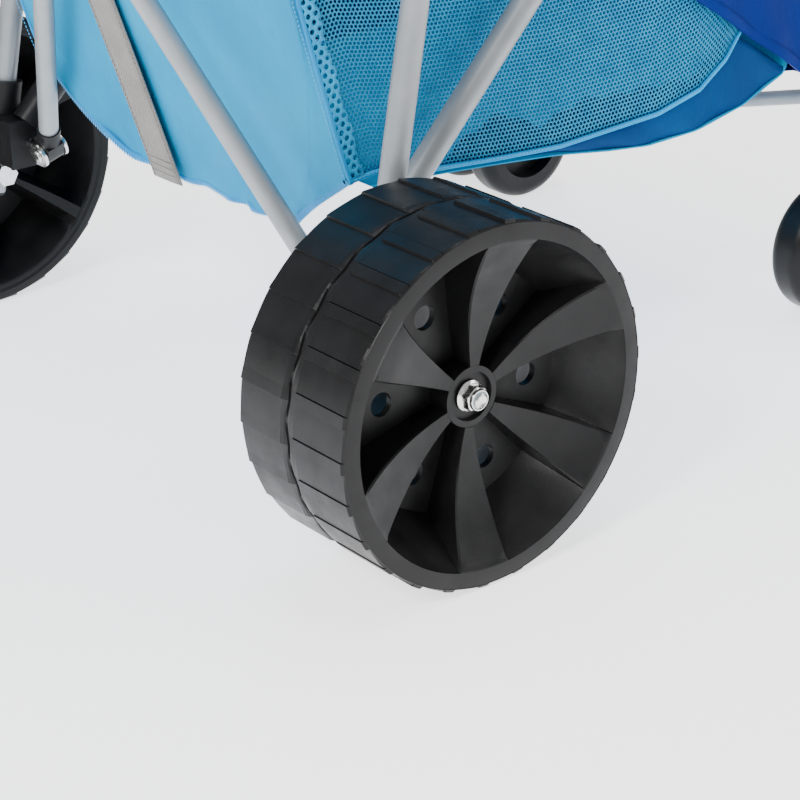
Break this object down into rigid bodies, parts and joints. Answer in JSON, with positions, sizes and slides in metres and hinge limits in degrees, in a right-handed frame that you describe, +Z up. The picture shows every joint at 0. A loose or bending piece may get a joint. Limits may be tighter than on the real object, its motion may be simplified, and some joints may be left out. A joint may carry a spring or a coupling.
{
  "type": "beach cart",
  "caption": "Folding beach cart: tubular side frames, rear scissor brace, mesh-sided fabric bag, wide lugged rear wheels and twin-wheel front casters.",
  "frame": {"origin": "on the ground, under the middle of the overall box", "axes": "+X forward, +Y to the cart's left, +Z up"},
  "size_m": [0.9948, 0.767, 1.0543],
  "materials": {
    "frame_tube": "satin powder coat",
    "black_plastic": "matte moulded",
    "wheel_plastic": "satin moulded",
    "zinc_steel": "zinc plated",
    "foam_grip": "foam",
    "blue_fabric": "coated oxford weave",
    "blue_mesh": "open knitted mesh",
    "navy_fabric": "coated oxford weave",
    "grey_webbing": "woven webbing"
  },
  "bodies": {
    "right_frame": {"front_leg_right": "frame_tube", "side_rail_right": "frame_tube", "handle_post_right": "frame_tube", "handle_grip_right": "foam_grip", "rear_leg_right": "frame_tube", "side_strut_right": "frame_tube", "rail_joints_right": "black_plastic", "leg_ends_right": "black_plastic", "frame_knuckle_right": "black_plastic", "brace_bracket_right": "zinc_steel", "frame_pins_right": "zinc_steel", "spreader_collar_right": "black_plastic", "axle_bolt_right": "zinc_steel", "wheel_nut_right": "zinc_steel", "bag_mesh_right": "blue_mesh", "hang_straps_right": "grey_webbing", "bag_rear_panel": "blue_fabric", "bag_floor": "blue_fabric", "bag_front_panel": "blue_fabric", "front_tote": "navy_fabric", "cargo_strap": "grey_webbing"},
    "left_frame": {"front_leg_left": "frame_tube", "side_rail_left": "frame_tube", "handle_post_left": "frame_tube", "handle_grip_left": "foam_grip", "rear_leg_left": "frame_tube", "side_strut_left": "frame_tube", "rail_joints_left": "black_plastic", "leg_ends_left": "black_plastic", "frame_knuckle_left": "black_plastic", "brace_bracket_left": "zinc_steel", "frame_pins_left": "zinc_steel", "spreader_collar_left": "black_plastic", "axle_bolt_left": "zinc_steel", "wheel_nut_left": "zinc_steel", "bag_mesh_left": "blue_mesh", "hang_straps_left": "grey_webbing"},
    "brace_right": {"rear_brace_right": "frame_tube", "brace_ends_right": "black_plastic", "brace_pins_right": "zinc_steel"},
    "brace_left": {"rear_brace_left": "frame_tube", "brace_ends_left": "black_plastic", "brace_pins_left": "zinc_steel"},
    "slider_left": {"brace_slider_left": "black_plastic"},
    "slider_right": {"brace_slider_right": "black_plastic"},
    "spreader_right": {"spreader_link_right": "frame_tube", "spreader_middle_pin": "zinc_steel"},
    "spreader_left": {"spreader_link_left": "frame_tube"},
    "wheel_right": {"rear_wheel_right": "wheel_plastic"},
    "caster_right": {"caster_body_right": "black_plastic", "caster_pins_right": "zinc_steel"},
    "caster_wheel_inner_right": {"caster_wheel_right_inner": "wheel_plastic"},
    "caster_wheel_outer_right": {"caster_wheel_right_outer": "wheel_plastic"},
    "wheel_left": {"rear_wheel_left": "wheel_plastic"},
    "caster_left": {"caster_body_left": "black_plastic", "caster_pins_left": "zinc_steel"},
    "caster_wheel_inner_left": {"caster_wheel_left_inner": "wheel_plastic"},
    "caster_wheel_outer_left": {"caster_wheel_left_outer": "wheel_plastic"}
  },
  "joints": [
    {"name": "brace_fold", "type": "hinge", "parent": "right_frame", "child": "brace_right", "pos_m": [-0.08093, -0.2, 0.14744], "axis": [0.9524, 0, 0.3048], "range_deg": [0, 20], "deforming": ["bag_rear_panel", "bag_floor", "bag_front_panel", "front_tote", "cargo_strap"]},
    {"name": "brace_cross", "type": "hinge", "parent": "brace_right", "child": "brace_left", "pos_m": [-0.18637, 0, 0.47694], "axis": [0.9524, 0, 0.3048], "range_deg": [-40, 0]},
    {"name": "brace_foot_left", "type": "hinge", "parent": "brace_left", "child": "left_frame", "pos_m": [-0.06493, 0.2, 0.15256], "axis": [0.9524, 0, 0.3048], "range_deg": [0, 20]},
    {"name": "brace_head_left", "type": "hinge", "parent": "brace_right", "child": "slider_left", "pos_m": [-0.29181, 0.2, 0.80644], "axis": [0.9524, 0, 0.3048], "range_deg": [-20, 0]},
    {"name": "brace_head_right", "type": "hinge", "parent": "brace_left", "child": "slider_right", "pos_m": [-0.27581, -0.2, 0.81156], "axis": [0.9524, 0, 0.3048], "range_deg": [0, 20]},
    {"name": "spreader_fold_right", "type": "hinge", "parent": "right_frame", "child": "spreader_right", "pos_m": [0.47902, -0.208, 0.184], "axis": [1, 0, 0], "range_deg": [0, 84.24]},
    {"name": "spreader_fold_left", "type": "hinge", "parent": "left_frame", "child": "spreader_left", "pos_m": [0.46112, 0.208, 0.184], "axis": [-1, 0, 0], "range_deg": [0, 84.24]},
    {"name": "rear_wheel_spin_right", "type": "hinge", "parent": "right_frame", "child": "wheel_right", "pos_m": [-0.08793, -0.3835, 0.127], "axis": [0, 1, 0], "continuous": true},
    {"name": "caster_swivel_right", "type": "hinge", "parent": "right_frame", "child": "caster_right", "pos_m": [0.47007, -0.234, 0.128], "axis": [0, 0, 1], "continuous": true},
    {"name": "caster_wheel_spin_inner_right", "type": "hinge", "parent": "caster_right", "child": "caster_wheel_inner_right", "pos_m": [0.44207, -0.234, 0.056], "axis": [0, 1, 0], "continuous": true},
    {"name": "caster_wheel_spin_outer_right", "type": "hinge", "parent": "caster_right", "child": "caster_wheel_outer_right", "pos_m": [0.44207, -0.234, 0.056], "axis": [0, 1, 0], "continuous": true},
    {"name": "rear_wheel_spin_left", "type": "hinge", "parent": "left_frame", "child": "wheel_left", "pos_m": [-0.08793, 0.3835, 0.127], "axis": [0, 1, 0], "continuous": true},
    {"name": "caster_swivel_left", "type": "hinge", "parent": "left_frame", "child": "caster_left", "pos_m": [0.47007, 0.234, 0.128], "axis": [0, 0, 1], "continuous": true},
    {"name": "caster_wheel_spin_inner_left", "type": "hinge", "parent": "caster_left", "child": "caster_wheel_inner_left", "pos_m": [0.44207, 0.234, 0.056], "axis": [0, 1, 0], "continuous": true},
    {"name": "caster_wheel_spin_outer_left", "type": "hinge", "parent": "caster_left", "child": "caster_wheel_outer_left", "pos_m": [0.44207, 0.234, 0.056], "axis": [0, 1, 0], "continuous": true}
  ],
  "couplings": [
    {"joint": "brace_cross", "follows": "brace_fold", "ratio": -2},
    {"joint": "brace_foot_left", "follows": "brace_fold", "ratio": 1},
    {"joint": "brace_head_left", "follows": "brace_fold", "ratio": -1},
    {"joint": "brace_head_right", "follows": "brace_fold", "ratio": 1},
    {"joint": "spreader_fold_right", "follows": "brace_fold", "ratio": 4.2116},
    {"joint": "spreader_fold_left", "follows": "brace_fold", "ratio": 4.2116}
  ]
}
